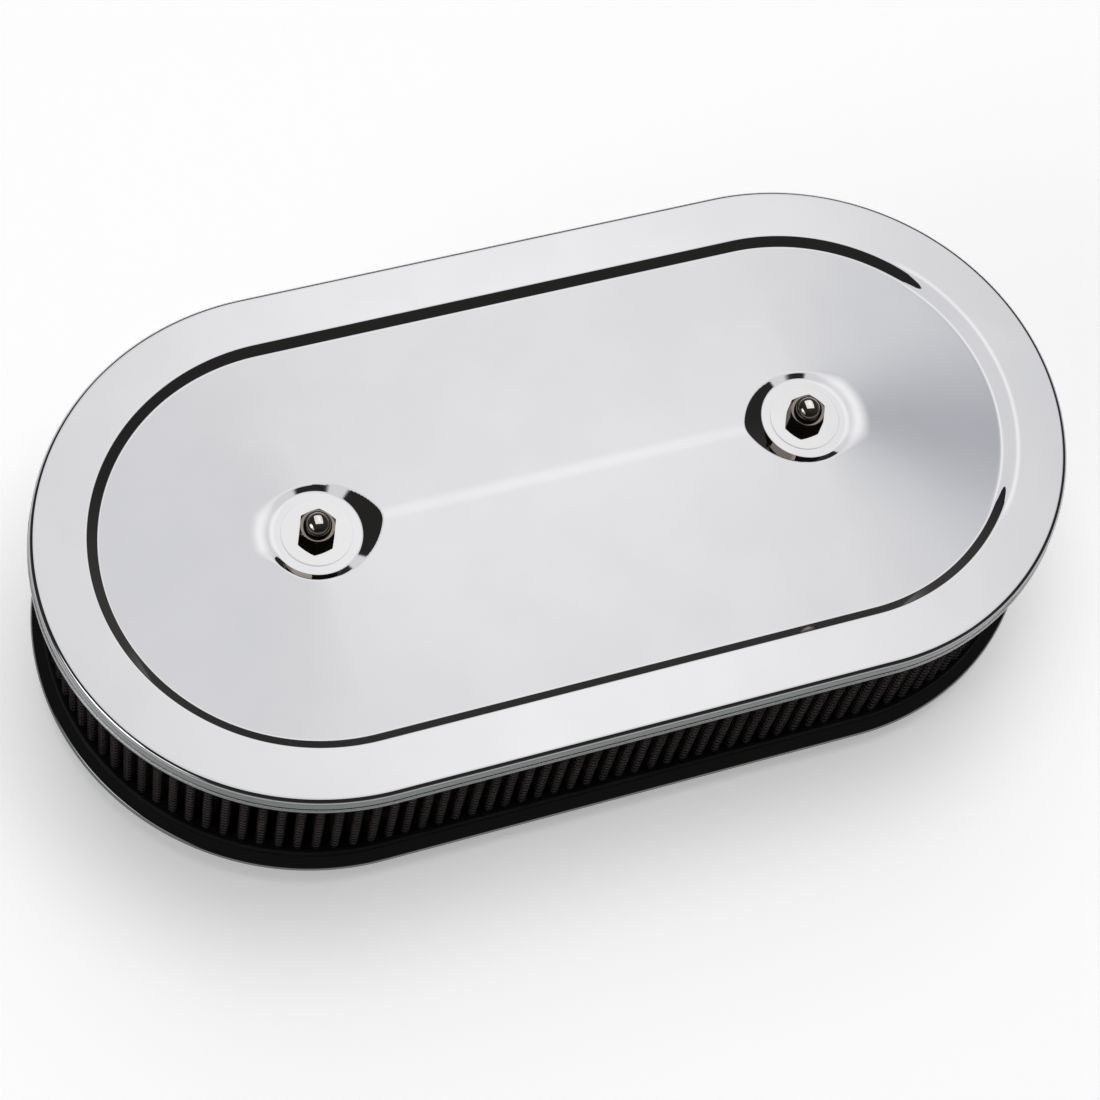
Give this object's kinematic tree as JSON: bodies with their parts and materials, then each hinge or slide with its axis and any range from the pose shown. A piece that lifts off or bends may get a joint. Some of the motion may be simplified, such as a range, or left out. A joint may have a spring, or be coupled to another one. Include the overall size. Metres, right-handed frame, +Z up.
{
  "type": "carburetor air cleaner",
  "caption": "Oval chromed engine air cleaner: a stamped lid and base hold a pleated gauze element, and domed nuts on studs clamp it over the carburetors.",
  "frame": {"origin": "midway between the studs, at the level of the neck gaskets' undersides", "axes": "+X from the left stud to the right stud, +Y to the back, +Z up through the lid"},
  "size_m": [0.45, 0.234, 0.1088],
  "materials": {
    "lid_chrome": "mirror",
    "base_chrome": "mirror",
    "nut_chrome": "dark mirror",
    "washer_chrome": "mirror",
    "stud_steel": "zinc plated",
    "seal_rubber": "satin",
    "gasket_rubber": "satin",
    "nut_seal_rubber": "satin",
    "oiled_gauze": "oiled, matte",
    "dark_mesh": "dark coated wire",
    "cage_mesh": "satin"
  },
  "bodies": {
    "housing": {"lid": "lid_chrome", "base_pan": "base_chrome", "top_seal": "seal_rubber", "bottom_seal": "seal_rubber", "inner_screen": "cage_mesh", "filter_media": "oiled_gauze", "outer_screen": "dark_mesh", "left_stud": "stud_steel", "left_washer": "washer_chrome", "left_neck_gasket": "gasket_rubber", "right_stud": "stud_steel", "right_washer": "washer_chrome", "right_neck_gasket": "gasket_rubber"},
    "left_nut_ring": {"left_nut_seal": "nut_seal_rubber"},
    "left_nut": {"left_nut": "nut_chrome"},
    "right_nut_ring": {"right_nut_seal": "nut_seal_rubber"},
    "right_nut": {"right_nut": "nut_chrome"}
  },
  "joints": [
    {"name": "left_nut_lift", "type": "slide", "parent": "housing", "child": "left_nut_ring", "axis": [0, 0, 1], "range_m": [0, 0.0051]},
    {"name": "left_nut_turn", "type": "hinge", "parent": "left_nut_ring", "child": "left_nut", "pos_m": [-0.10795, 0, 0.0965], "axis": [0, 0, 1], "range_deg": [0, 1440]},
    {"name": "right_nut_lift", "type": "slide", "parent": "housing", "child": "right_nut_ring", "axis": [0, 0, 1], "range_m": [0, 0.0051]},
    {"name": "right_nut_turn", "type": "hinge", "parent": "right_nut_ring", "child": "right_nut", "pos_m": [0.10795, 0, 0.0965], "axis": [0, 0, 1], "range_deg": [0, 1440]}
  ],
  "couplings": [
    {"joint": "left_nut_lift", "follows": "left_nut_turn", "m_per_rad": 0.00020213},
    {"joint": "right_nut_lift", "follows": "right_nut_turn", "m_per_rad": 0.00020213}
  ]
}
